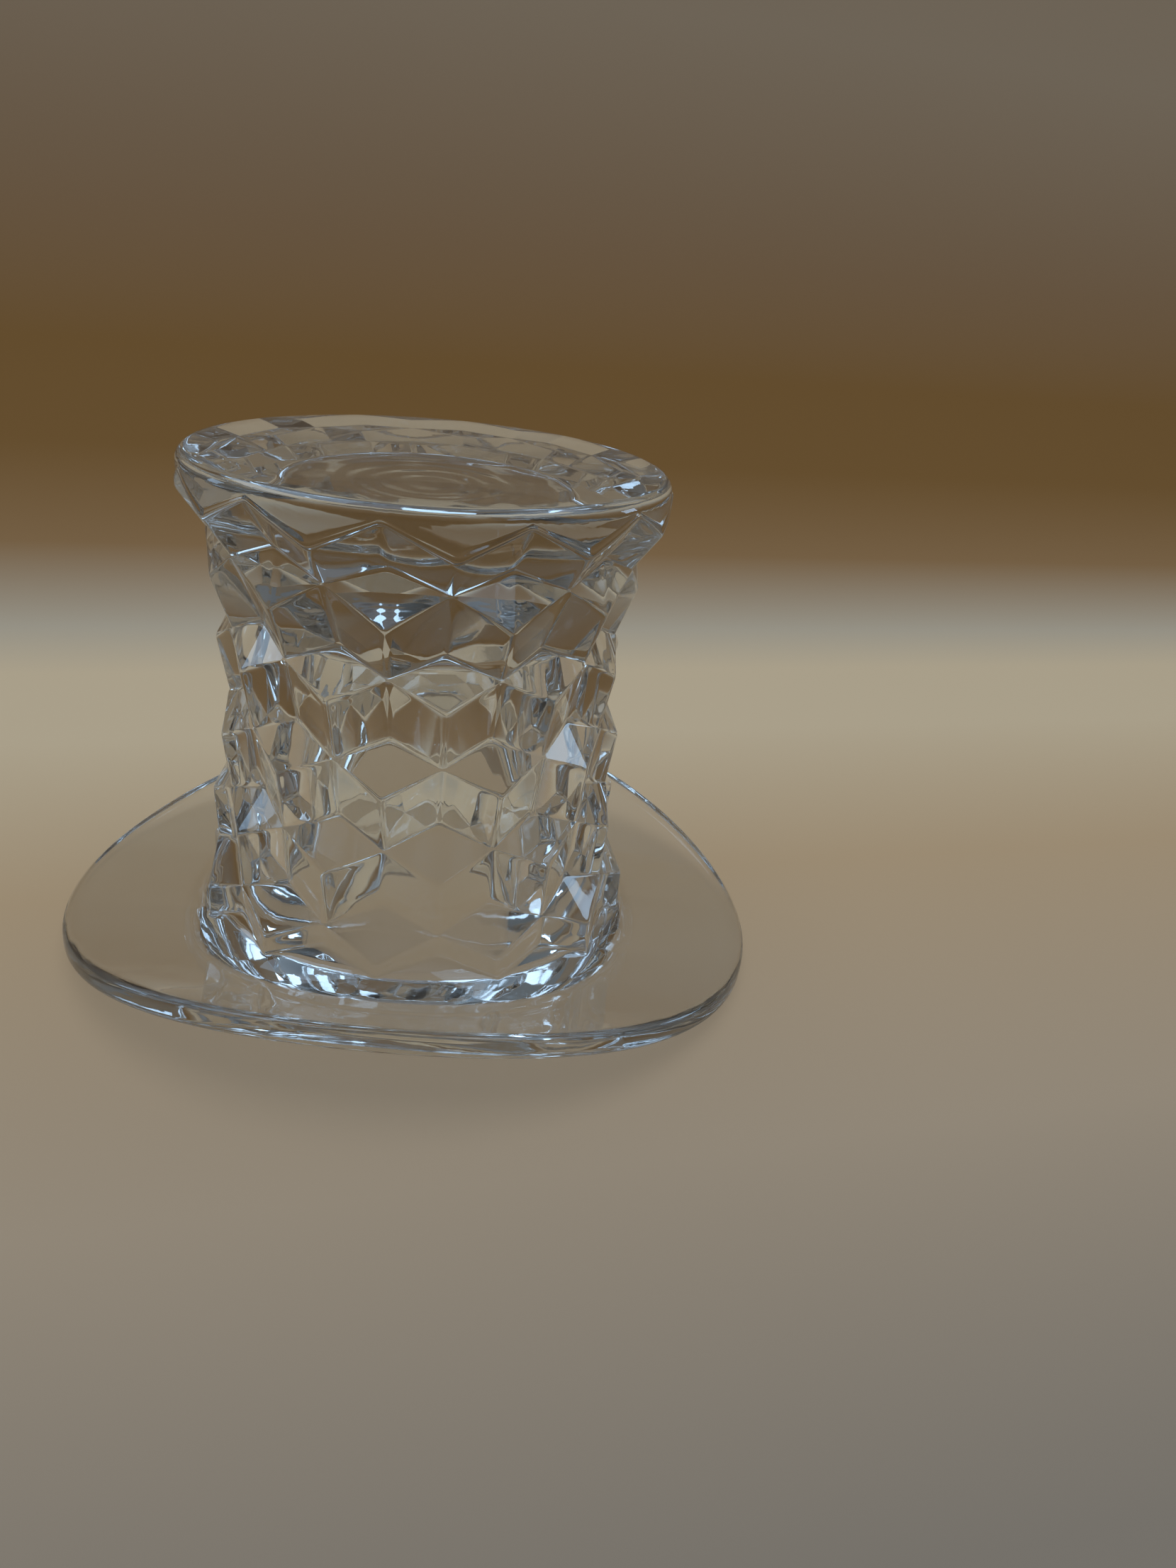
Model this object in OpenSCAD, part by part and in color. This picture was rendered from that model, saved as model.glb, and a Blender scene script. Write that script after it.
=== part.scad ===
// Pressed glass top hat that stands on its brim, crown up and hollow underneath.
// Millimetres. The origin is on the table below the middle of the crown,
// +X runs along the brim's long axis and +Z points up.

/* [Crown] */
// Height of the hat, from the table to the crown top
hat_h = 55; // [51:0.1:64]
// Radius of the crown at its rim
rim_r = 25; // [23:0.1:28]
// Radius of the crown wall at its waist
waist_r = 20.7; // [19.5:0.1:22]
// Height of the waist above the table
waist_z = 34; // [28:0.5:38]
// Extra radius of the crown wall at the level of the table
foot_flare = 4.2; // [2:0.1:5.5]
// Depth below the crown top at which the flaring wall reaches the rim's radius
rim_depth = 4; // [3:0.1:5]
// Rounding of the crown's top edge
top_round = 2.2; // [1.2:0.1:3]

/* [Cube relief] */
// Columns of cubes round the crown
columns = 12; // [9:1:16]
// Height of one row of cubes
row_pitch = 8.85; // [8:0.05:10.5]
// Height of a lozenge's far corner above its side corners
far_rise = 2.15; // [1.6:0.05:2.8]
// Depth of a lozenge's near corner below its side corners
near_drop = 2.7; // [2:0.05:3.4]
// Extra depth of the near corners in the first row, where the crown flares
first_stretch = 0.9; // [0:0.1:1.5]
// How far the far corners lie back from the side corners
far_relief = 1.8; // [1:0.1:2.4]
// How far the near corners stand out from the side corners
near_relief = 1.3; // [0.5:0.1:1.8]
// Depth of the first lozenges' side corners below the crown top
first_row_depth = 8.3; // [7.6:0.1:9.6]
// Depth of the smooth rim band below the crown top, at the peaks of its zigzag
band_peak_depth = 1.4; // [1:0.1:2.4]
// Depth of the smooth rim band below the crown top, at the valleys of its zigzag
band_valley_depth = 4.5; // [3.5:0.1:5.5]

/* [Hollow] */
// Thickness of the solid glass under the crown top
top_thick = 17.5; // [14:0.5:21]
// Thickness of the wall at the hollow's closed end, behind the side corners of the waist
end_wall = 4.7; // [3.5:0.1:6]
// How much larger the hollow's radius is at its mouth, so that the plunger could leave it
mouth_spread = 1.5; // [0.5:0.1:2.5]
// Rounding of the hollow's inner corner
hollow_round = 2; // [1:0.1:4]
// Rounding of the mouth's edge
mouth_round = 2.5; // [1:0.1:4]

/* [Brim] */
// Length of the brim, end to end
brim_len = 79.6; // [72:0.1:90]
// Width of the brim across its turned-up sides
brim_wid = 74.4; // [68:0.1:84]
// Thickness of the brim
brim_thick = 2.8; // [2:0.1:4]
// How far the brim's sides turn up
brim_rise = 8.1; // [4:0.1:11]
// How sharply the turn-up gathers towards the sides
bend_power = 2.3; // [2:0.1:3]
// Height of the cove at the crown's foot above the brim's turned-up sides
cove_h = 5.4; // [4:0.1:7]
// How far the cove's top lies back behind the side corners
cove_inset = 1; // [0.5:0.1:1.6]
// How far the cove spreads past the crown
cove_spread = 0.9; // [0.4:0.1:2]
// Depth of the flats that the brim's ends rest on
rest_flat = 0.15; // [0.05:0.05:0.4]

/* [Hidden] */

glass = [0.84, 0.87, 0.85];

// Angles and counts of the surfaces
column_angle = 360 / columns;
sides = 96;
arc_steps = 6;
plate_steps = 4;
flare_power = 3;
blank_reach = 1.5;
clear = 2;

// Levels of the crown
ceiling_z = hat_h - top_thick;
band_peak_z = hat_h - band_peak_depth;
band_valley_z = hat_h - band_valley_depth;
first_row_z = hat_h - first_row_depth;
rim_z = hat_h - rim_depth;

// The hollow
hollow_end_r = waist_r - end_wall;
mouth_r = hollow_end_r + mouth_spread;

// Foot of the crown and the plate of the brim
foot_r = near_r(0) + cove_spread;
plate_z = brim_thick - rest_flat;
cove_z = plate_z + rise(foot_r) + cove_h;
cove_r = wall_r(cove_z) - cove_inset;
edge_r = brim_thick / 2;
collar_in_r = mouth_r / 2;
rows = ceil(first_row_z / row_pitch);

// Radius of the side corners: waisted, flared a little to the foot and strongly to the rim
function wall_r(z) = z < waist_z
    ? waist_r + foot_flare * pow((waist_z - z) / waist_z, 2)
    : waist_r + (rim_r - waist_r) * pow((z - waist_z) / (rim_z - waist_z), flare_power);

// Radii of the cubes' near and far corners
function near_r(z) = wall_r(z) + near_relief;
function far_r(z) = wall_r(z) - far_relief;

// Height that the bend adds to the brim at a distance y from its long axis
function rise(y) = brim_rise * pow(abs(y) / (brim_wid / 2), bend_power);

// A point on the crown at a radius, a height and a column counted from the front
function at(r, z, column) = [r * sin(column * column_angle), -r * cos(column * column_angle), z];

// Rows of lozenges: alternate rows are set half a column apart
function offset_of(row) = row % 2 == 0 ? 1 / 2 : 0;
function shift_of(row) = row % 2 == 0 ? 1 : 0;
function side_z(row) = first_row_z - (row - 1) * row_pitch;
function far_z(row) = side_z(row) + far_rise;
function near_z(row) = side_z(row) - near_drop - (row == 1 ? first_stretch : 0);

// The point on the line from a to b, in radius and height, at a share of its length
function along(a, b, share) = a + (b - a) * share;

// The rim's facets run on past the band, and the turned blank cuts them back to its zigzag
peak_end = along([far_r(far_z(1)), far_z(1)], [rim_r, band_peak_z], blank_reach);
valley_end = along([wall_r(first_row_z), first_row_z], [rim_r, band_valley_z], blank_reach);
blank_r = max(peak_end[0], valley_end[0]);
blank_z = max(hat_h, peak_end[1], valley_end[1]) + clear;
floor_z = side_z(rows + 1) - clear;

// Corners of the relief in groups of one per column, from the top down
relief_points = [
    for (c = [0:columns - 1]) at(blank_r, blank_z, c),
    for (c = [0:columns - 1]) at(blank_r, blank_z, c + offset_of(0)),
    for (c = [0:columns - 1]) at(peak_end[0], peak_end[1], c),
    for (c = [0:columns - 1]) at(valley_end[0], valley_end[1], c + offset_of(0)),
    for (row = [1:rows + 1]) each [
        for (c = [0:columns - 1]) at(far_r(far_z(row)), far_z(row), c + offset_of(row)),
        for (c = [0:columns - 1]) at(wall_r(side_z(row)), side_z(row), c + offset_of(row) - 1 / 2),
        for (c = [0:columns - 1]) at(near_r(near_z(row)), near_z(row), c + offset_of(row)),
    ],
    [0, 0, blank_z],
    [0, 0, floor_z],
];

// Index of each corner in the list above
function corner(group, c) = group * columns + (c + columns) % columns;
function far(row, c) = corner(3 * row + 1, c);
function side(row, c) = corner(row == 0 ? 2 : 3 * row + 2, c);
function near(row, c) = corner(3 * row + 3, c);
top_middle = len(relief_points) - 2;
floor_middle = len(relief_points) - 1;

// Two triangles for each four-cornered facet
function facet(a, b, c, d) = [[a, b, c], [a, c, d]];

// The two faces of a cube below its near corner
function cube_sides(row, c) = concat(
    facet(side(row, c), near(row, c), side(row + 1, c + shift_of(row)), far(row + 1, c + shift_of(row) - 1)),
    facet(side(row, c + 1), far(row + 1, c + shift_of(row)), side(row + 1, c + shift_of(row)), near(row, c))
);

// The blank's band above the zigzag, and the caps that close the solid
function band(c) = concat(
    facet(corner(0, c), corner(1, c), near(0, c), side(0, c)),
    facet(corner(1, c), corner(0, c + 1), side(0, c + 1), near(0, c))
);
function caps(c) = [
    [top_middle, corner(1, c), corner(0, c)],
    [top_middle, corner(0, c + 1), corner(1, c)],
    [floor_middle, side(rows + 1, c), near(rows + 1, c)],
    [floor_middle, near(rows + 1, c), side(rows + 1, c + 1)],
];

relief_faces = [
    for (c = [0:columns - 1]) each concat(
        band(c),
        caps(c),
        [for (row = [0:rows]) each cube_sides(row, c)],
        [for (row = [1:rows + 1]) each facet(far(row, c), side(row, c + 1), near(row, c), side(row, c))]
    )
];

// Solid crown with its cubes, before it is cut to length and hollowed
module relief_solid() {
    polyhedron(relief_points, relief_faces);
}

// Quarter arc about a centre, with its start and end angles
function arc(middle, r, from, to) = [
    for (i = [0:arc_steps]) middle + r * [cos(from + (to - from) * i / arc_steps),
                                          sin(from + (to - from) * i / arc_steps)]
];

// The hollow left by the plunger, with a rounded inner corner and a rounded mouth.
// It runs on past the ceiling, which is the underside of the crown's solid end.
module hollow() {
    rotate_extrude($fn = sides)
        polygon(concat(
            [[0, -clear], [mouth_r + mouth_round, -clear]],
            arc([mouth_r + mouth_round, mouth_round], mouth_round, 270, 180),
            arc([hollow_end_r - hollow_round, ceiling_z - hollow_round], hollow_round, 0, 90),
            [[hollow_end_r - hollow_round, ceiling_z + clear], [0, ceiling_z + clear]]
        ));
}

// Turned end of the crown: plain band, rounded edge and level top
module crown_end() {
    rotate_extrude($fn = sides)
        polygon(concat(
            [[0, ceiling_z], [rim_r, ceiling_z]],
            arc([rim_r - top_round, hat_h - top_round], top_round, 0, 90),
            [[0, hat_h]]
        ));
}

// Closed ring through a list of profiles, one per angle, each a closed loop of points
module swept_ring(profiles) {
    turns = len(profiles);
    steps = len(profiles[0]);
    polyhedron(
        [for (profile = profiles) each profile],
        [
            for (i = [0:turns - 1], j = [0:steps - 1]) each facet(
                i * steps + j,
                i * steps + (j + 1) % steps,
                (i + 1) % turns * steps + (j + 1) % steps,
                (i + 1) % turns * steps + j
            )
        ]
    );
}

// A point of the bent plate: plan radii along and across, angle, and height above the flat plate's underside
function plate_point(rx, ry, angle, height) = [
    rx * cos(angle),
    ry * sin(angle),
    height - rest_flat + rise(ry * sin(angle))
];

// Everything below the table is cut away, which leaves the flats under the brim's ends
module above_table() {
    difference() {
        children();
        translate([0, 0, -brim_rise - clear])
            cylinder(h = brim_rise + clear, r = brim_len + brim_wid, $fn = sides);
    }
}

// Lower side of the collar at one angle, from the foot in, at a height in the bent plate
function collar_floor(angle, height) = [
    for (i = [0:plate_steps])
        let (r = foot_r + (collar_in_r - foot_r) * i / plate_steps)
            plate_point(r, r, angle, height)
];

// Profile of the cove at one angle: level top, hollow quarter, joint with the brim, underside
function cove_profile(angle) = let (foot = plate_point(foot_r, foot_r, angle, brim_thick)) concat(
    [[collar_in_r * cos(angle), collar_in_r * sin(angle), cove_z]],
    [
        for (i = [0:arc_steps])
            let (turn = 90 * i / arc_steps, r = foot_r - (foot_r - cove_r) * cos(turn))
                [r * cos(angle), r * sin(angle), cove_z - (cove_z - foot[2]) * sin(turn)]
    ],
    collar_floor(angle, 0)
);

// Profile of the room in which the last cubes run down into the cove
function cube_room_profile(angle) = concat(
    [for (r = [collar_in_r, foot_r]) [r * cos(angle), r * sin(angle), cove_z]],
    collar_floor(angle, edge_r)
);

// Profile of the brim at one angle: upper face, rounded edge, lower face
function brim_profile(angle) = concat(
    [for (i = [0:plate_steps - 1]) plate_at(i / plate_steps, angle, brim_thick)],
    [
        for (i = [0:2 * arc_steps])
            let (turn = 90 - 90 * i / arc_steps, inset = edge_r * (1 - cos(turn)))
                plate_point(brim_len / 2 - inset, brim_wid / 2 - inset, angle, edge_r + edge_r * sin(turn))
    ],
    [for (i = [plate_steps - 1:-1:0]) plate_at(i / plate_steps, angle, 0)]
);

// A point of the plate at a share of the way from the collar to where the edge starts to round
function plate_at(share, angle, height) = plate_point(
    foot_r + (brim_len / 2 - edge_r - foot_r) * share,
    foot_r + (brim_wid / 2 - edge_r - foot_r) * share,
    angle,
    height
);

// Solid end of the crown, with the rim band and the first cubes
module crown_top() {
    color(glass)
        intersection() {
            relief_solid();
            crown_end();
        }
}

// Patterned wall of the crown, round the hollow
module crown_wall() {
    color(glass)
        difference() {
            intersection() {
                relief_solid();
                translate([0, 0, cove_z])
                    cylinder(h = ceiling_z - cove_z, r = rim_r, $fn = sides);
            }
            hollow();
        }
}

// Foot of the crown, which coves out into the brim and takes up the last cubes
module collar() {
    color(glass)
        difference() {
            above_table() {
                swept_ring([for (i = [0:sides - 1]) cove_profile(-360 * i / sides)]);
                intersection() {
                    relief_solid();
                    swept_ring([for (i = [0:sides - 1]) cube_room_profile(-360 * i / sides)]);
                }
            }
            hollow();
        }
}

// Oval plate, turned up at its two long sides
module brim() {
    color(glass)
        above_table()
            swept_ring([for (i = [0:sides - 1]) brim_profile(-360 * i / sides)]);
}

crown_top();
crown_wall();
collar();
brim();
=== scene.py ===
"""Pressed glass top hat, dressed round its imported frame: one clear pressing on a paper sweep."""

import math

import bmesh
import bpy
import numpy as np
from bpy.props import FloatProperty, IntProperty, PointerProperty, StringProperty
from mathutils import Matrix, Vector


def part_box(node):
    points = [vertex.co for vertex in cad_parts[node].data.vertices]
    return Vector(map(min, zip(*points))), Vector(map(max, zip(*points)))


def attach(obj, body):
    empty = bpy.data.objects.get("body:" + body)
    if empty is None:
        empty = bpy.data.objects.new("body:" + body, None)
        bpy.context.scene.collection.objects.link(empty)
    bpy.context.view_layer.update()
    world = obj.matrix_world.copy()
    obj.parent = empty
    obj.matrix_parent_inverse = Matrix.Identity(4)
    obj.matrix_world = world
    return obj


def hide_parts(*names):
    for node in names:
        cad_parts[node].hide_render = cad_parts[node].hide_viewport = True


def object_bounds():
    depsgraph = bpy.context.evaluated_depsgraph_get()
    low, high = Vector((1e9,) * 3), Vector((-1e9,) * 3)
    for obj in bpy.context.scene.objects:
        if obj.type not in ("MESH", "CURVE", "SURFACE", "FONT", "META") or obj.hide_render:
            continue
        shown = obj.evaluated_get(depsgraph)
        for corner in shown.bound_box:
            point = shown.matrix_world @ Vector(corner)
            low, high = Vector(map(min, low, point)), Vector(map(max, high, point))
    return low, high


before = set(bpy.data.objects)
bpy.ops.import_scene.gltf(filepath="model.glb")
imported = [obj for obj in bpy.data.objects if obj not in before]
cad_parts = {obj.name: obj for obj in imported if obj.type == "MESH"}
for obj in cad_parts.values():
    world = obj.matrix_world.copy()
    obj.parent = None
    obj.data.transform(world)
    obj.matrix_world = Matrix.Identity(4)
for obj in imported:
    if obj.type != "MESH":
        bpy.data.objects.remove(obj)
CAD_LOW, CAD_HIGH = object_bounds()

bl_info = {
    "name": "Glass top hat",
    "version": (1, 0, 0),
    "blender": (4, 5, 0),
    "location": "View3D > Sidebar > Glass hat",
    "description": "Builds a pressed glass top hat and the paper sweep that it stands on",
    "category": "Add Mesh",
}

MM = 0.001

# The photograph's frame and focal length in pixels, the camera's place in metres, its angles in degrees
PHOTO_WIDTH = 1659
PHOTO_HEIGHT = 2212
PHOTO_FOCAL = 1660.0
CAMERA_PLACE = (0.0, -0.1241, 0.0771)
CAMERA_PAN = 8.97
CAMERA_PITCH = 25.10
CAMERA_ROLL = -5.75
CAMERA_ORBIT = 9.2
CAMERA_CLIP = 0.01
SENSOR_MM = 36.0

# Shares of a half column, and of a facet's height, where the grid has a line: closest at the soft edges
EDGE_SHARE = 0.075
EDGE_STEPS = EDGE_SHARE * np.array([0.5, 1.0, 1.6])
FACE_STEPS = (0.3, 0.5, 0.7)
CUBE_STEPS = np.concatenate([[0.0], EDGE_STEPS, FACE_STEPS, 1 - EDGE_STEPS[::-1]])

# Points of a softened crease that move, counted from the crease, and their shares of its curve
CREASE_POINTS = ((-1, 0.25), (0, 0.5), (1, 0.75))

# Shares of the rim band's depth where the grid has a row; the last two lead into its softened zigzag
BAND_STEPS = (0, 0.02, 0.06, 0.12, 0.2, 0.3, 0.42, 0.54, 0.66, 0.76)
BAND_LEAD = (0.84, 0.92)

# Points along each stretch of the hat's profile, both ends in
TOP_POINTS = 14
COVE_POINTS = 13
BRIM_UPPER_POINTS = 13
BRIM_EDGE_POINTS = 25
BRIM_UNDER_POINTS = 25
CORNER_POINTS = 10
WALL_POINTS = 20
CEILING_POINTS = 64

# Points nearer than this are one point, and a length that keeps a division from zero
MERGE_GAP = 0.002 * MM
TINY = 1e-9

# The glass's skin: wave lengths of its noise, and how far the waves stand up
RIPPLE = {"Scale": 1 / (7 * MM), "Detail": 1.0, "Roughness": 0.4}
RIPPLE_BUMP = {"Strength": 0.25, "Distance": 0.25 * MM}
GRAIN = {"Scale": 1 / (0.9 * MM), "Detail": 2.0, "Roughness": 0.5}
GRAIN_BUMP = {"Strength": 0.12, "Distance": 0.02 * MM}
SMUDGE = {"Scale": 1 / (11 * MM), "Detail": 3.0, "Roughness": 0.6}
SMUDGE_RANGE = {"From Min": 0.45, "From Max": 0.75}

# The paper sweep in metres: its profile from front to top, half its width, its turn about the hat's axis,
# how far it lies below the brim, and the points along each stretch
SWEEP_FRONT = -2.0
SWEEP_BEND = 0.105
SWEEP_RADIUS = 0.085
SWEEP_HEIGHT = 0.2
SWEEP_HALF = 2.0
SWEEP_TURN = math.radians(18)
SWEEP_GAP = 0.25 * MM
FLOOR_POINTS = 40
BEND_POINTS = 33
UPRIGHT_POINTS = 20
ACROSS_POINTS = 9

# The paper's tones, each at a run along the sweep: distance behind the hat plus height. They paint light and
# shade into the paper: a painted shadow near the camera, painted light behind the hat, a painted sheen at the
# bend and painted shade up its upright part.
PAPER_STOPS = (
    (-0.085, "paper_front_shadow"),
    (-0.045, "paper_near_shade"),
    (0.008, "paper_floor"),
    (0.055, "paper_rear_light"),
    (0.085, "paper_rear_light"),
    (0.11, "paper_bend_sheen"),
    (0.15, "paper_turn_shade"),
    (0.19, "paper_wall_shade"),
    (0.225, "paper_wall_shade"),
    (0.262, "paper_high_shade"),
    (0.315, "paper_top_shade"),
)
RUN_START = -0.1
RUN_END = 0.4
PAPER_GLOW = 0.72
PAPER_SKIN = {"Roughness": 0.9, "Specular IOR Level": 0.1}

# The paper's tooth, drawn coarser than a real sheet's so that it shows
TOOTH = {"Scale": 1 / (0.6 * MM), "Detail": 2.0}
TOOTH_BUMP = {"Strength": 0.1, "Distance": 0.05 * MM}

# Where the room's tones change: the axis of the view's direction, and where the change starts and ends
ROOM_CHANGES = {"side": ("Y", -0.6, 0.1), "above": ("Z", 0.0, 0.28), "top": ("Z", 0.55, 0.95)}

# The lamps: name, place, width and height in metres, and power in watts
LAMP_AIM = (0, 0, 0.02)
WINDOWS = (
    ("window_left", (-0.256, 0.069, 0.424), 0.34, 0.28, 0.62),
    ("window_right", (0.264, -0.02, 0.424), 0.4, 0.26, 0.58),
    ("pane_left", (-0.399, 0.049, 0.143), 0.07, 0.1, 0.07),
    ("pane_right", (0.381, 0.139, 0.129), 0.07, 0.1, 0.12),
    ("pane_front", (0.312, -0.281, 0.055), 0.1, 0.07, 0.03),
)
SOFT_LAMP = ("soft_over", (0, 0, 0.7), 0.8, 0.8, 6.2)

# Bounces that light needs to cross the walls of the crown and leave again
ALL_BOUNCES = 24
GLOSSY_BOUNCES = 16
GLASS_BOUNCES = 24

# Sockets whose names aren't their own, by number
MATH_A, MATH_B = 0, 1
SHADER_SHARE, SHADER_A, SHADER_B = 0, 1, 2
COLOUR_A, COLOUR_B, COLOUR_OUT = 6, 7, 2


def size(label, text, default):
    """A length that a user would change, in metres."""
    return FloatProperty(name=label, description=text, default=default, min=0.0, precision=5, unit="LENGTH")


def number(label, text, default, **limits):
    """A plain number that a user would change."""
    return FloatProperty(name=label, description=text, default=default, **limits)


def tone(label, text, default):
    """A colour that a user would change, as an sRGB hex value."""
    return StringProperty(name=label, description=text, default=default)


class HatSizes(bpy.types.PropertyGroup):
    """Sizes of the hat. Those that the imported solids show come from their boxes."""

    height: size("Height", "From the table to the crown top", CAD_HIGH.z)
    rim_r: size("Rim radius", "Radius of the crown at its rim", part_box("crown_top")[1].x)
    waist_r: size("Waist radius", "Radius of the crown wall at its waist", 20.7 * MM)
    waist_z: size("Waist height", "Height of the waist above the table", 34 * MM)
    foot_flare: size("Foot flare", "Extra radius of the crown wall at the table", 4.2 * MM)
    rim_depth: size("Rim depth", "Depth below the top where the wall reaches the rim", 4 * MM)
    top_round: size("Top rounding", "Rounding of the crown's top edge", 1.3 * MM)
    columns: IntProperty(name="Columns", description="Columns of cubes round the crown", default=12, min=6)
    row_pitch: size("Row pitch", "Height of one row of cubes", 8.85 * MM)
    far_rise: size("Far rise", "Height of a lozenge's far corner above its side corners", 2.15 * MM)
    near_drop: size("Near drop", "Depth of a lozenge's near corner below its side corners", 2.7 * MM)
    first_stretch: size("First stretch", "Extra depth of the first row's near corners", 0.9 * MM)
    far_relief: size("Far relief", "How far the far corners lie back", 1.8 * MM)
    near_relief: size("Near relief", "How far the near corners stand out", 1.3 * MM)
    first_row_depth: size("First row", "Depth of the first side corners below the top", 8.3 * MM)
    band_peak: size("Band peaks", "Depth of the rim band at the peaks of its zigzag", 1.4 * MM)
    band_valley: size("Band valleys", "Depth of the rim band at the valleys of its zigzag", 4.5 * MM)
    band_step: size("Band step", "How far the first cubes stand out from the rim band", 0.3 * MM)
    ceiling_z: size("Ceiling", "Height of the hollow's closed end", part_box("crown_top")[0].z)
    hollow_end_r: size("Hollow end radius", "Radius of the hollow at its closed end", 15.6 * MM)
    mouth_r: size("Mouth radius", "Radius of the hollow at its mouth", 17.5 * MM)
    hollow_round: size("Hollow rounding", "Rounding of the hollow's inner corner", 1 * MM)
    ring_pitch: size("Ring pitch", "Distance between the plunger's turning rings on the ceiling", 2.6 * MM)
    ring_height: size("Ring height", "Height of those rings", 0.01 * MM)
    mouth_round: size("Mouth rounding", "Rounding of the mouth's edge", 1 * MM)
    brim_len: size("Brim length", "Length of the brim", CAD_HIGH.x - CAD_LOW.x)
    brim_wid: size("Brim width", "Width of the brim across its turned-up sides", CAD_HIGH.y - CAD_LOW.y)
    brim_thick: size("Brim thickness", "Thickness of the brim", 2.8 * MM)
    edge_power: number("Edge power", "Power of the edge's curve: 1 is half round", 0.65, min=0.3, max=1.0)
    brim_rise: size("Brim rise", "How far the brim's sides turn up", 8.1 * MM)
    bend_power: number("Bend", "How sharply the turn-up gathers", 2.3, min=1.0)
    rest_flat: size("Rest flat", "Depth of the flats that the brim's ends rest on", 0.15 * MM)
    cove_z: size("Cove height", "Height where the cove starts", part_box("collar")[1].z)
    cove_r: size("Cove radius", "Radius at which the cove starts", 21.5 * MM)
    foot_r: size("Foot radius", "Radius where the cove meets the brim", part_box("collar")[1].x)


class HatFinish(bpy.types.PropertyGroup):
    """Colours of the glass and of its stage, and the glass's optical values."""

    glass: tone("Glass", "Tint of the glass where light passes through it", "#FCFDFC")
    depth: tone("Depth", "What a long way through the glass leaves of white light", "#808A90")
    density: number("Density", "How fast the glass takes light, per metre", 7.0, min=0.0)
    ior: number("IOR", "Index of refraction of soda-lime glass", 1.52, min=1.0)
    gloss: number("Gloss", "Roughness of the clean, fire-polished skin", 0.01, min=0.0)
    clear: number("Clear", "Share of light that a film of dust lets in", 0.99, max=1.0)
    handled: number("Handled", "Roughness where hands have dulled it", 0.06, min=0.0)
    # Painted shadow and shade: darker tones for the paper near the camera and in front of the hat, where less
    # light falls.
    paper_front_shadow: tone("Paper front", "Paper sweep near the camera", "#747069")
    paper_near_shade: tone("Paper near", "Paper sweep in front of the hat", "#908677")
    paper_floor: tone("Paper floor", "Paper sweep under the hat", "#9A8A72")
    # Painted light: a paler tone for the paper behind the hat, where more light falls.
    paper_rear_light: tone("Paper rear", "Paper sweep behind the hat", "#A99F8A")
    # Painted sheen: a pale, cool tone where the paper starts to bend up.
    paper_bend_sheen: tone("Paper bend", "Paper sweep where it starts to bend up", "#969286")
    # Painted shade: brown tones for the paper in its bend and up its upright part, lightening towards the
    # top.
    paper_turn_shade: tone("Paper turn", "Paper sweep in its bend", "#756045")
    paper_wall_shade: tone("Paper wall", "Paper sweep low on its upright part", "#675030")
    paper_high_shade: tone("Paper high", "Paper sweep higher up", "#6C5A45")
    paper_top_shade: tone("Paper top", "Paper sweep high on its upright part", "#766C5E")
    room_low: tone("Room low", "The room at the level of the table", "#6A665F")
    room_front: tone("Room front", "The room behind the camera", "#0E0F12")
    room_side: tone("Room side", "The room at both sides", "#5E666C")
    room_top: tone("Room top", "The room's ceiling", "#7C7C80")
    window: tone("Window", "Light of the windows", "#B7DCFF")
    soft: tone("Soft lamp", "Light of the soft lamp over the paper", "#FFFFFF")


def linear(code):
    """The linear RGB of an sRGB hex value, each channel through the sRGB curve."""
    s = np.array([int(code[i:i + 2], 16) for i in (1, 3, 5)]) / 255
    return np.where(s <= 0.04045, s / 12.92, ((s + 0.055) / 1.055) ** 2.4)


def rgba(code):
    """The same as four numbers with full alpha."""
    return (*linear(code), 1.0)


def quarter(count):
    """Angles of a quarter turn in equal steps, both ends in."""
    return np.linspace(0, math.pi / 2, count)


def wrapped(angle):
    """An angle brought to within half a turn of zero."""
    return (angle + math.pi) % (2 * math.pi) - math.pi


def turned(radius, z, angle):
    """Points at a radius and height, turned by an angle about the hat's axis from the front."""
    radius, z, angle = np.broadcast_arrays(radius, z, angle)
    return np.stack([radius * np.sin(angle), -radius * np.cos(angle), z], axis=-1)


def wall_radius(z, p):
    """Waist radius, plus a square law down to the foot, or a cube law up to the rim."""
    down = p.foot_flare * (np.clip(p.waist_z - z, 0, None) / p.waist_z) ** 2
    rim_z = p.height - p.rim_depth
    up = (p.rim_r - p.waist_r) * (np.clip(z - p.waist_z, 0, None) / (rim_z - p.waist_z)) ** 3
    return p.waist_r + down + up


def bend(y, p):
    """Height that the brim gains at a distance y from its long axis: a power of y over the half width."""
    return p.brim_rise * (np.abs(y) / (p.brim_wid / 2)) ** p.bend_power


def plate(rx, ry, angle, height, p):
    """The bent plate: an oval of radii rx and ry, lifted by the bend, at a height above its underside."""
    x, y = rx * np.sin(angle), -ry * np.cos(angle)
    return np.stack(np.broadcast_arrays(x, y, height - p.rest_flat + bend(y, p)), axis=-1)


def column_angles(p):
    """Angle of each column of the grid: each half column of cubes is cut at the same shares."""
    halves = np.arange(2 * p.columns)
    return ((halves[:, None] + CUBE_STEPS) * math.pi / p.columns).ravel()


def zigzag(radius, z, p):
    """A line round the crown that runs straight from corner to corner, one corner per half column."""
    corners = turned(radius, z, np.arange(2 * p.columns) * math.pi / p.columns)
    share = CUBE_STEPS[None, :, None]
    line = corners[:, None] * (1 - share) + np.roll(corners, -1, axis=0)[:, None] * share
    return line.reshape(-1, 3)


def rim_radius(depth, p):
    """Radius of the turned rim at a depth below the top: a quarter round, then upright."""
    left = 1 - np.clip(depth / p.top_round, 0, 1)
    return p.rim_r - p.top_round * (1 - np.sqrt(1 - left ** 2))


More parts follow.
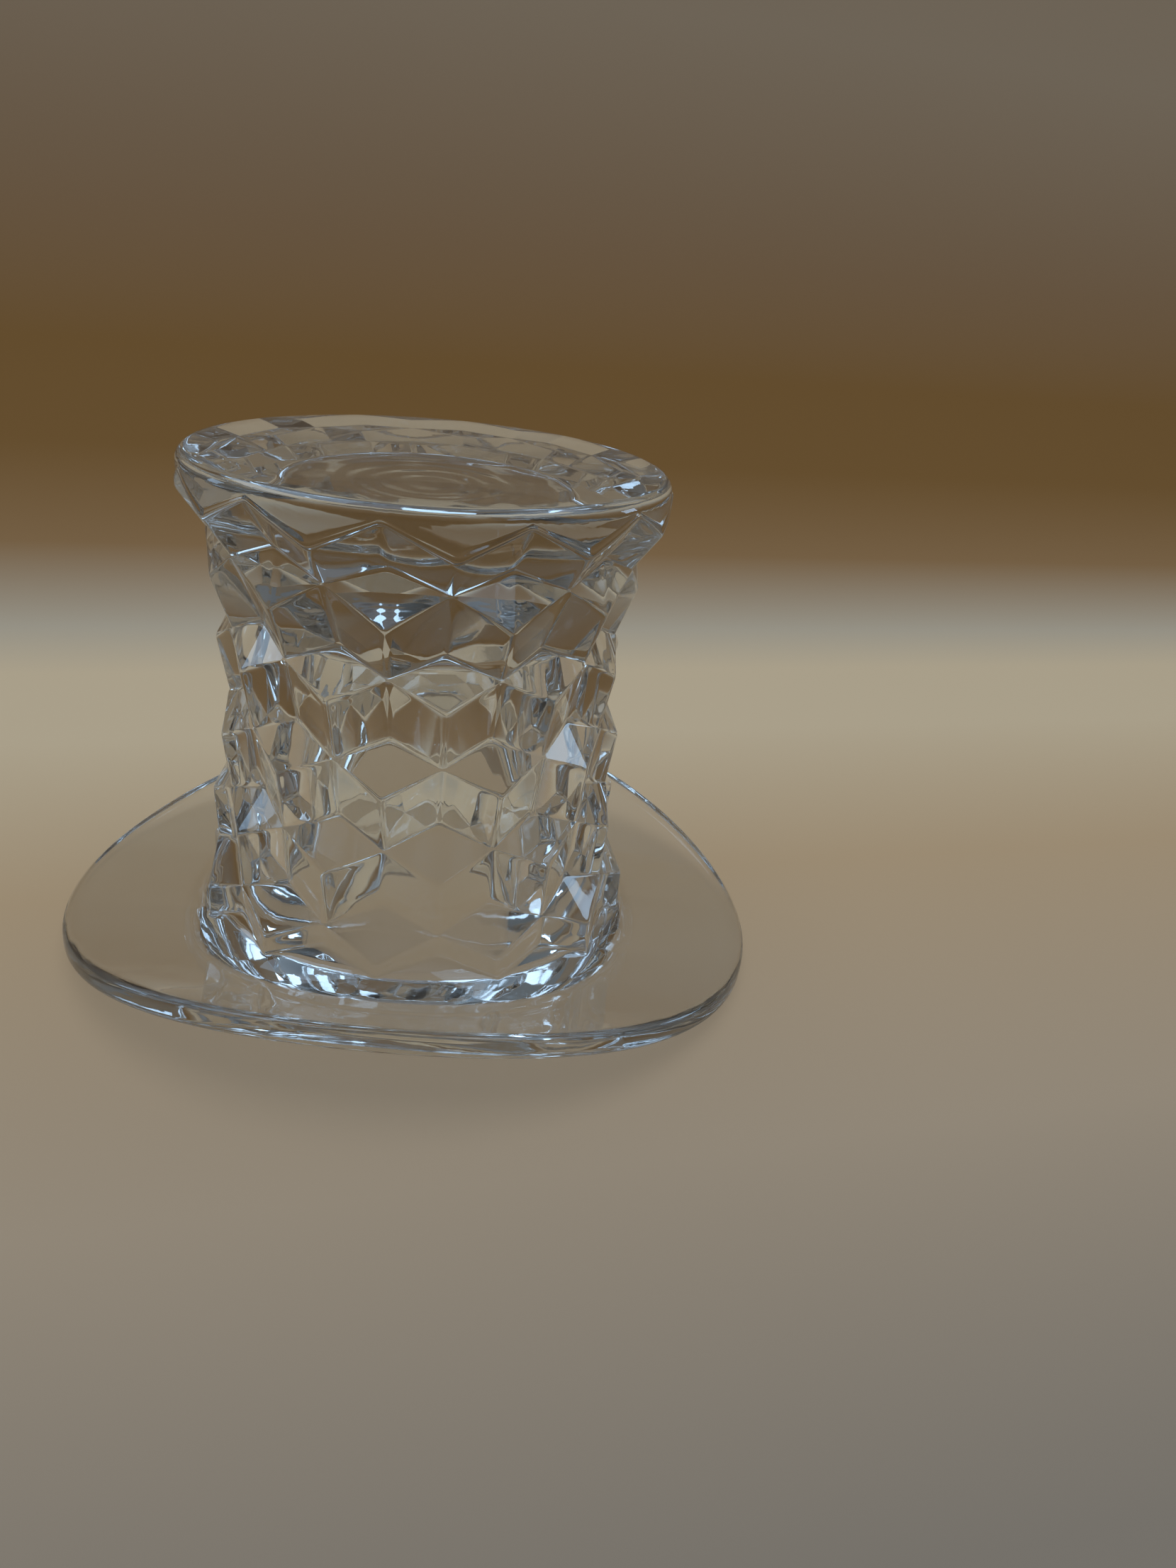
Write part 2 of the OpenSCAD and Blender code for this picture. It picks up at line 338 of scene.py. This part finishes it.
def band_row(share, p, proud=0.0):
    """A line round the rim's plain band, set out by proud.

    Its depth is a share of the depth of the zigzag that ends the band.
    """
    ends = np.where(np.arange(2 * p.columns) % 2 == 0, p.band_peak, p.band_valley)
    start = np.repeat(ends, len(CUBE_STEPS))
    end = np.repeat(np.roll(ends, -1), len(CUBE_STEPS))
    along = np.tile(CUBE_STEPS, 2 * p.columns)
    depth = share * (start * (1 - along) + end * along)
    return turned(rim_radius(depth, p) + proud, p.height - depth, column_angles(p))


def relief_lines(p):
    """The edges of the cubes as zigzag lines from the rim down.

    Row by row, a lozenge's upper edge joins far and side corners, and its lower edge near and side
    corners. Odd rows have their lozenges on even half columns, and even rows on odd ones.
    """
    halves = np.arange(2 * p.columns)
    lines = [band_row(1.0, p, p.band_step)]
    rows = math.ceil((p.height - p.first_row_depth) / p.row_pitch) + 1
    for row in range(1, rows + 1):
        side_z = p.height - p.first_row_depth - (row - 1) * p.row_pitch
        far_z = side_z + p.far_rise
        near_z = side_z - p.near_drop - (p.first_stretch if row == 1 else 0)
        middle = halves % 2 == (row + 1) % 2
        side_r = wall_radius(side_z, p)
        far_r = wall_radius(far_z, p) - p.far_relief
        near_r = wall_radius(near_z, p) + p.near_relief
        lines.append(zigzag(np.where(middle, far_r, side_r), np.where(middle, far_z, side_z), p))
        lines.append(zigzag(np.where(middle, near_r, side_r), np.where(middle, near_z, side_z), p))
    return np.array(lines)


def soften(grid, edges, axis):
    """Rounds the creases at the given lines of a grid.

    The five points across a crease become points of the quadratic curve that leaves the facet two
    points before the crease, aims at the crease and ends two points after it.
    """
    grid = np.moveaxis(grid, axis, 0).copy()
    count = len(grid)
    before, after = grid[(edges - 2) % count].copy(), grid[(edges + 2) % count].copy()
    crease = grid[edges].copy()
    for step, share in CREASE_POINTS:
        curve = before * (1 - share) ** 2 + crease * 2 * share * (1 - share) + after * share ** 2
        grid[(edges + step) % count] = curve
    return np.moveaxis(grid, 0, axis)


def foot_level(p):
    """Height of the brim's upper face round the foot of the cove, at each column."""
    return plate(p.foot_r, p.foot_r, column_angles(p), p.brim_thick, p)[:, 2]


def cove_radius(z, p):
    """Radius of the cove at a height: a quarter ellipse from its upright top to the level of the brim."""
    drop = np.clip((p.cove_z - z) / (p.cove_z - foot_level(p)), 0, 1)
    return np.where(z < p.cove_z, p.foot_r - (p.foot_r - p.cove_r) * np.sqrt(1 - drop ** 2), 0)


def end_rows(p):
    """The turned end from its middle out: level top, then the rounded edge and most of the plain band."""
    r = np.linspace(0, p.rim_r - p.top_round, TOP_POINTS)[:-1, None]
    top = turned(r, p.height, column_angles(p)[None])
    return np.concatenate([top, [band_row(share, p) for share in BAND_STEPS]])


def crown_rows(p):
    """The faceted wall: each facet is the bilinear patch between two zigzag lines.

    Each column is cut off where the cove first stands out from it, at the share of its last step that
    brings it to the cove's radius.
    """
    lines = relief_lines(p)
    share = CUBE_STEPS[None, :, None, None]
    rows = (lines[:-1, None] * (1 - share) + lines[1:, None] * share).reshape(-1, *lines.shape[1:])
    lead = [band_row(depth, p) for depth in BAND_LEAD]
    rows = np.concatenate([lead, rows])
    rows = soften(rows, np.arange(len(lead), len(rows), len(CUBE_STEPS)), 0)
    rows = soften(rows, np.arange(0, rows.shape[1], len(CUBE_STEPS)), 1)
    reach = np.hypot(rows[..., 0], rows[..., 1]) - cove_radius(rows[..., 2], p)
    inside = np.minimum.accumulate(reach >= 0, axis=0)
    last = np.clip(inside.sum(axis=0) - 1, 0, len(rows) - 2)
    column = np.arange(rows.shape[1])
    above, below = reach[last, column], reach[last + 1, column]
    step = np.clip(above / np.maximum(above - below, TINY), 0, 1)
    cut = rows[last, column] + (rows[last + 1, column] - rows[last, column]) * step[:, None]
    return np.where(inside[..., None], rows, cut)


def cove_rows(start, p):
    """From where the facets end down and out to the brim along the cove's quarter ellipse, at each column."""
    foot = foot_level(p)
    share = np.linspace(0, 1, COVE_POINTS)[1:, None]
    begin = np.arcsin(np.clip((p.cove_z - start[:, 2]) / (p.cove_z - foot), 0, 1))
    turn = begin + (math.pi / 2 - begin) * share
    radius = p.foot_r - (p.foot_r - p.cove_r) * np.cos(turn)
    own = np.arctan2(start[:, 0], -start[:, 1])
    angle = own + wrapped(column_angles(p) - own) * share
    return turned(radius, p.cove_z - (p.cove_z - foot) * np.sin(turn), angle)


def brim_rows(p):
    """The brim's upper face, its edge and its underside, which is level where it rests.

    The faces run in equal steps from round to oval. The edge is a half round whose cosine and sine
    are raised to a power, which flattens its face.
    """
    angle = column_angles(p)[None]
    edge = p.brim_thick / 2
    share = np.linspace(0, 1, BRIM_UPPER_POINTS)[1:, None]
    rx = p.foot_r + (p.brim_len / 2 - edge - p.foot_r) * share
    ry = p.foot_r + (p.brim_wid / 2 - edge - p.foot_r) * share
    upper = plate(rx, ry, angle, p.brim_thick, p)
    turn = (math.pi / 2 - np.linspace(0, math.pi, BRIM_EDGE_POINTS))[1:-1, None]
    inset = edge * (1 - np.cos(turn) ** p.edge_power)
    rise = edge * np.sign(np.sin(turn)) * np.abs(np.sin(turn)) ** p.edge_power
    rim = plate(p.brim_len / 2 - inset, p.brim_wid / 2 - inset, angle, edge + rise, p)
    lip = p.mouth_r + p.mouth_round
    share = np.linspace(1, 0, BRIM_UNDER_POINTS)[:, None]
    rx = lip + (p.brim_len / 2 - edge - lip) * share
    ry = lip + (p.brim_wid / 2 - edge - lip) * share
    under = plate(rx, ry, angle, 0.0, p)
    rows = np.concatenate([upper, rim, under])
    rows[..., 2] = np.maximum(rows[..., 2], 0)
    return rows


def hollow_rows(p):
    """The hollow from its rounded mouth up its tapered wall and round its inner corner to the ceiling.

    Mouth and corner are quarter rounds, the taper is straight, and the ceiling's rings are a cosine of
    the radius that fades to nothing at the middle and at the corner.
    """
    angle = column_angles(p)[None]
    turn = quarter(CORNER_POINTS)[1:, None]
    lip = p.mouth_r + p.mouth_round
    base = np.maximum(plate(lip, lip, angle, 0.0, p)[..., 2], 0)
    mouth_r = p.mouth_r + p.mouth_round * (1 - np.sin(turn))
    mouth = turned(mouth_r, base + p.mouth_round * (1 - np.cos(turn)), angle)
    top_z = p.ceiling_z - p.hollow_round
    share = np.linspace(0, 1, WALL_POINTS)[1:, None]
    wall_z = mouth[-1:, :, 2] + (top_z - mouth[-1:, :, 2]) * share
    wall = turned(p.mouth_r + (p.hollow_end_r - p.mouth_r) * share, wall_z, angle)
    corner_r = p.hollow_end_r - p.hollow_round * (1 - np.cos(turn))
    corner = turned(corner_r, top_z + p.hollow_round * np.sin(turn), angle)
    flat_r = p.hollow_end_r - p.hollow_round
    r = np.linspace(flat_r, 0, CEILING_POINTS)[1:, None]
    fade = np.sin(math.pi * r / flat_r) ** 2
    rings = p.ring_height * fade * np.cos(2 * math.pi * r / p.ring_pitch)
    ceiling = turned(r, p.ceiling_z + rings, angle)
    return np.concatenate([mouth, wall, corner, ceiling])


def grid_object(name, grid, closed):
    """A mesh from a grid of points, joined round where closed, with doubled points merged."""
    rows, columns = grid.shape[:2]
    index = np.arange(rows * columns).reshape(rows, columns)
    if closed:
        index = np.concatenate([index, index[:, :1]], axis=1)
    here, beside = index[:, :-1], index[:, 1:]
    quads = np.stack([here[:-1], here[1:], beside[1:], beside[:-1]], axis=-1).reshape(-1, 4)
    mesh = bpy.data.meshes.new(name)
    mesh.from_pydata(grid.reshape(-1, 3), [], quads)
    shape = bmesh.new()
    shape.from_mesh(mesh)
    bmesh.ops.remove_doubles(shape, verts=shape.verts, dist=MERGE_GAP)
    shape.to_mesh(mesh)
    shape.free()
    mesh.polygons.foreach_set("use_smooth", np.ones(len(mesh.polygons), bool))
    piece = bpy.data.objects.new(name, mesh)
    bpy.context.scene.collection.objects.link(piece)
    return piece


def add_node(tree, kind, inputs=None, settings=None):
    """A node with its own settings, and its inputs set to values or linked to other nodes' outputs."""
    node = tree.nodes.new(kind)
    for key, value in (settings or {}).items():
        setattr(node, key, value)
    for key, value in (inputs or {}).items():
        if isinstance(value, bpy.types.NodeSocket):
            tree.links.new(value, node.inputs[key])
        else:
            node.inputs[key].default_value = value
    return node


def empty_material(name):
    """A material with no nodes yet, and its node tree."""
    material = bpy.data.materials.new(name)
    material.use_nodes = True
    material.node_tree.nodes.clear()
    return material, material.node_tree


def pressed_glass(finish):
    """Clear soda-lime glass, pressed in a mould and fire-polished.

    The flame leaves a bright skin with a slow ripple a few millimetres long and a faint grain from the
    mould. Hands dull it in smudges, dust leaves a thin film, and long ways through the glass are grey.
    """
    material, tree = empty_material("pressed_soda_lime_glass")
    place = add_node(tree, "ShaderNodeTexCoord").outputs["Object"]
    ripple = add_node(tree, "ShaderNodeTexNoise", {"Vector": place, **RIPPLE})
    slow = add_node(tree, "ShaderNodeBump", {"Height": ripple.outputs["Fac"], **RIPPLE_BUMP})
    grain = add_node(tree, "ShaderNodeTexNoise", {"Vector": place, **GRAIN})
    skin = add_node(tree, "ShaderNodeBump", {
        "Height": grain.outputs["Fac"], "Normal": slow.outputs["Normal"], **GRAIN_BUMP})
    smudge = add_node(tree, "ShaderNodeTexNoise", {"Vector": place, **SMUDGE})
    wear = add_node(tree, "ShaderNodeMapRange", {
        "Value": smudge.outputs["Fac"], "To Min": finish.gloss, "To Max": finish.handled, **SMUDGE_RANGE},
        {"interpolation_type": "SMOOTHSTEP"})
    shader = add_node(tree, "ShaderNodeBsdfPrincipled", {
        "Base Color": rgba(finish.glass), "IOR": finish.ior, "Roughness": wear.outputs["Result"],
        "Transmission Weight": finish.clear, "Normal": skin.outputs["Normal"]})
    body = add_node(tree, "ShaderNodeVolumeAbsorption", {
        "Color": rgba(finish.depth), "Density": finish.density})
    add_node(tree, "ShaderNodeOutputMaterial", {
        "Surface": shader.outputs["BSDF"], "Volume": body.outputs["Volume"]})
    return material


def paper(finish):
    """Matt paper with a fine tooth and its own tan tone under the hat, with light and shade painted in along
    the
    sweep: a painted shadow near the camera, painted light that makes it paler behind the hat, a painted sheen
    where it starts to bend up, and painted shade that makes it browner where it goes up.

    Where the camera sees it, straight, mirrored or through the glass, a share of it is its own even
    tone, which the lamps don't change.
    """
    material, tree = empty_material("matt_paper")
    place = add_node(tree, "ShaderNodeTexCoord").outputs["Object"]
    square = add_node(tree, "ShaderNodeMapping", {"Vector": place, "Rotation": (0, 0, -SWEEP_TURN)})
    axes = add_node(tree, "ShaderNodeSeparateXYZ", {"Vector": square.outputs["Vector"]}).outputs
    run = add_node(tree, "ShaderNodeMath", {MATH_A: axes["Y"], MATH_B: axes["Z"]}, {"operation": "ADD"})
    share = add_node(tree, "ShaderNodeMapRange", {
        "Value": run.outputs["Value"], "From Min": RUN_START, "From Max": RUN_END})
    # The ramp paints the sweep's light and shade into the paper's tone, by its run behind the hat and up.
    ramp = add_node(tree, "ShaderNodeValToRGB", {"Fac": share.outputs["Result"]})
    stops = ramp.color_ramp.elements
    for i, (run_at, name) in enumerate(PAPER_STOPS):
        at = (run_at - RUN_START) / (RUN_END - RUN_START)
        stop = stops[i] if i < len(stops) else stops.new(at)
        stop.position = at
        stop.color = rgba(getattr(finish, name))
    grain = add_node(tree, "ShaderNodeTexNoise", {"Vector": place, **TOOTH})
    tooth = add_node(tree, "ShaderNodeBump", {"Height": grain.outputs["Fac"], **TOOTH_BUMP})
    matt = add_node(tree, "ShaderNodeBsdfPrincipled", {
        "Base Color": ramp.outputs["Color"], "Normal": tooth.outputs["Normal"], **PAPER_SKIN})
    path = add_node(tree, "ShaderNodeLightPath").outputs
    seen = path["Is Camera Ray"]
    for way in ("Is Glossy Ray", "Is Transmission Ray"):
        either = add_node(tree, "ShaderNodeMath", {MATH_A: seen, MATH_B: path[way]}, {"operation": "MAXIMUM"})
        seen = either.outputs["Value"]
    glow = add_node(tree, "ShaderNodeMath", {MATH_A: seen, MATH_B: PAPER_GLOW}, {"operation": "MULTIPLY"})
    even = add_node(tree, "ShaderNodeEmission", {"Color": ramp.outputs["Color"], "Strength": 1.0})
    both = add_node(tree, "ShaderNodeMixShader", {
        SHADER_SHARE: glow.outputs["Value"],
        SHADER_A: matt.outputs["BSDF"],
        SHADER_B: even.outputs["Emission"]})
    add_node(tree, "ShaderNodeOutputMaterial", {"Surface": both.outputs["Shader"]})
    return material


def sweep_grid():
    """The sweep: its profile carried straight across its width, then turned about the hat's axis.

    The profile is a level floor, a quarter round and an upright.
    """
    floor = np.linspace(SWEEP_FRONT, SWEEP_BEND, FLOOR_POINTS)
    turn = quarter(BEND_POINTS)[1:]
    upright = np.linspace(SWEEP_RADIUS, SWEEP_HEIGHT, UPRIGHT_POINTS)[1:]
    wall = np.full(len(upright), SWEEP_BEND + SWEEP_RADIUS)
    back = np.concatenate([floor, SWEEP_BEND + SWEEP_RADIUS * np.sin(turn), wall])
    up = np.concatenate([np.zeros(len(floor)), SWEEP_RADIUS * (1 - np.cos(turn)), upright])
    across = np.linspace(SWEEP_HALF, -SWEEP_HALF, ACROSS_POINTS)[:, None]
    x = across * math.cos(SWEEP_TURN) - back * math.sin(SWEEP_TURN)
    y = across * math.sin(SWEEP_TURN) + back * math.cos(SWEEP_TURN)
    return np.stack(np.broadcast_arrays(x, y, up - SWEEP_GAP), axis=-1)


def room(finish):
    """A plain room: dark behind the camera, grey at the sides, paler overhead, the table's tone low down."""
    world = bpy.data.worlds.new("room")
    world.use_nodes = True
    tree = world.node_tree
    tree.nodes.clear()
    view = add_node(tree, "ShaderNodeTexCoord").outputs["Generated"]
    axes = add_node(tree, "ShaderNodeSeparateXYZ", {"Vector": view}).outputs
    share = {}
    for part, (axis, start, end) in ROOM_CHANGES.items():
        change = add_node(tree, "ShaderNodeMapRange", {
            "Value": axes[axis], "From Min": start, "From Max": end}, {"interpolation_type": "SMOOTHSTEP"})
        share[part] = change.outputs["Result"]
    colours = {"data_type": "RGBA"}
    around = add_node(tree, "ShaderNodeMix", {
        "Factor": share["side"],
        COLOUR_A: rgba(finish.room_front),
        COLOUR_B: rgba(finish.room_side)}, colours)
    low = add_node(tree, "ShaderNodeMix", {
        "Factor": share["above"],
        COLOUR_A: rgba(finish.room_low),
        COLOUR_B: around.outputs[COLOUR_OUT]}, colours)
    whole = add_node(tree, "ShaderNodeMix", {
        "Factor": share["top"],
        COLOUR_A: low.outputs[COLOUR_OUT],
        COLOUR_B: rgba(finish.room_top)}, colours)
    back = add_node(tree, "ShaderNodeBackground", {"Color": whole.outputs[COLOUR_OUT], "Strength": 1.0})
    add_node(tree, "ShaderNodeOutputWorld", {"Surface": back.outputs["Background"]})
    return world


def soft_light(name, place, width, height, power, colour):
    """A soft rectangular light that faces the hat."""
    data = bpy.data.lights.new(name, "AREA")
    data.shape = "RECTANGLE"
    data.size, data.size_y = width, height
    data.energy = power
    data.color = linear(colour)
    lamp = bpy.data.objects.new(name, data)
    lamp.location = place
    lamp.rotation_euler = (Vector(LAMP_AIM) - Vector(place)).to_track_quat("-Z", "Y").to_euler()
    bpy.context.scene.collection.objects.link(lamp)
    return lamp


def camera_matrix():
    """The camera's place and axes.

    Pan and pitch aim it, roll turns the picture, and the orbit turns all of it about the hat's axis.
    """
    pan, pitch, roll = (math.radians(a) for a in (CAMERA_PAN, CAMERA_PITCH, CAMERA_ROLL))
    ahead = np.array([math.sin(pan) * math.cos(pitch), math.cos(pan) * math.cos(pitch), -math.sin(pitch)])
    right = np.array([math.cos(pan), -math.sin(pan), 0])
    down = np.cross(ahead, right)
    across = math.cos(roll) * right + math.sin(roll) * down
    below = -math.sin(roll) * right + math.cos(roll) * down
    axes = np.stack([across, -below, -ahead, CAMERA_PLACE], axis=-1)
    return Matrix.Rotation(math.radians(CAMERA_ORBIT), 4, "Z") @ Matrix([*axes, (0, 0, 0, 1)])


def photo_camera():
    """A camera with the photograph's place, turn and angle of view."""
    data = bpy.data.cameras.new("photo_camera")
    data.sensor_width = SENSOR_MM
    data.lens = SENSOR_MM * PHOTO_FOCAL / max(PHOTO_WIDTH, PHOTO_HEIGHT)
    data.clip_start = CAMERA_CLIP
    camera = bpy.data.objects.new("photo_camera", data)
    camera.matrix_world = camera_matrix()
    bpy.context.scene.collection.objects.link(camera)
    return camera


class HAT_OT_press(bpy.types.Operator):
    """Press the whole hat: end, cube relief, cove, brim and hollow in one closed surface"""

    bl_idname = "glass_hat.press"
    bl_label = "Press the hat"

    def execute(self, context):
        p = context.scene.hat_sizes
        crown = crown_rows(p)
        grid = np.concatenate([end_rows(p), crown, cove_rows(crown[-1], p), brim_rows(p), hollow_rows(p)])
        hat = grid_object("hat_glass", grid, True)
        hat.data.materials.append(pressed_glass(context.scene.hat_finish))
        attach(hat, "root")
        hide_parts("crown_top", "crown_wall", "collar", "brim")
        return {"FINISHED"}


class HAT_OT_stage(bpy.types.Operator):
    """Set the paper sweep, the windows, the room and the camera"""

    bl_idname = "glass_hat.stage"
    bl_label = "Set the stage"

    def execute(self, context):
        scene = context.scene
        finish = scene.hat_finish
        sweep = grid_object("paper_sweep", sweep_grid(), False)
        sweep.data.materials.append(paper(finish))
        for values in WINDOWS:
            window = soft_light(*values, finish.window)
            window.visible_diffuse = False
            window.visible_camera = False
        soft = soft_light(*SOFT_LAMP, finish.soft)
        soft.visible_glossy = False
        soft.visible_transmission = False
        scene.world = room(finish)
        scene.camera = photo_camera()
        scene.view_settings.view_transform = "Standard"
        scene.cycles.max_bounces = ALL_BOUNCES
        scene.cycles.glossy_bounces = GLOSSY_BOUNCES
        scene.cycles.transmission_bounces = GLASS_BOUNCES
        return {"FINISHED"}


STEPS = (HAT_OT_press, HAT_OT_stage)


class HAT_PT_panel(bpy.types.Panel):
    """Lists the steps, the sizes and the finish of the hat"""

    bl_label = "Glass hat"
    bl_idname = "HAT_PT_panel"
    bl_space_type = "VIEW_3D"
    bl_region_type = "UI"
    bl_category = "Glass hat"

    def draw(self, context):
        for step in STEPS:
            self.layout.operator(step.bl_idname)
        for group in (context.scene.hat_sizes, context.scene.hat_finish):
            box = self.layout.box()
            for key in group.__annotations__:
                box.prop(group, key)


CLASSES = (HatSizes, HatFinish, *STEPS, HAT_PT_panel)


def register():
    """Adds the classes, and the hat's sizes and finish to each scene."""
    for each in CLASSES:
        bpy.utils.register_class(each)
    bpy.types.Scene.hat_sizes = PointerProperty(type=HatSizes)
    bpy.types.Scene.hat_finish = PointerProperty(type=HatFinish)


def unregister():
    """Takes away what register adds."""
    del bpy.types.Scene.hat_finish
    del bpy.types.Scene.hat_sizes
    for each in reversed(CLASSES):
        bpy.utils.unregister_class(each)


def main():
    register()
    bpy.ops.glass_hat.press()
    bpy.ops.glass_hat.stage()


if __name__ == "__main__":
    main()
